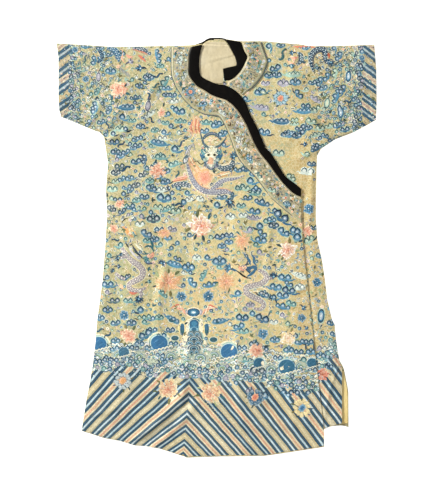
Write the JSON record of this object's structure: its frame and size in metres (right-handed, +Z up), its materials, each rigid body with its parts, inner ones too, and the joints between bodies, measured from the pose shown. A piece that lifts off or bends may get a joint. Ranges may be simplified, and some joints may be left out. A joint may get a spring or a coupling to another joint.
{
  "type": "chinese dragon robe",
  "caption": "Chinese silk dragon robe laid flat, with wide short sleeves, a right-side overlap, a patterned collar border, black neck binding and an open side vent.",
  "frame": {"origin": "on the resting face of the back, under the centre of the robe's outline", "axes": "+Z up out of the front, +Y towards the collar, +X towards the side with the overlap's edge and the vent"},
  "size_m": [1.0659, 1.3962, 0.0125],
  "materials": {
    "ground_silk": "soft sheen",
    "border_silk": "soft sheen",
    "piping": "satin",
    "black_satin": "satin",
    "cream_lining": "matte",
    "yellow_lining": "soft sheen",
    "black_knot": "matte"
  },
  "bodies": {
    "root": {"back_left": "ground_silk", "back_right": "ground_silk", "front_left": "ground_silk", "front_overlap": "ground_silk", "front_right_inner": "ground_silk", "sleeve_left": "ground_silk", "sleeve_right": "ground_silk", "collar_border_front": "border_silk", "collar_border_right": "border_silk", "collar_border_back": "border_silk", "piping_front": "piping", "piping_right": "piping", "neck_binding_front": "black_satin", "neck_binding_right": "black_satin", "neck_binding_back": "black_satin", "neck_lining": "cream_lining", "vent_lining": "yellow_lining", "knot_neck": "black_knot", "knot_shoulder": "black_knot"}
  },
  "joints": []
}
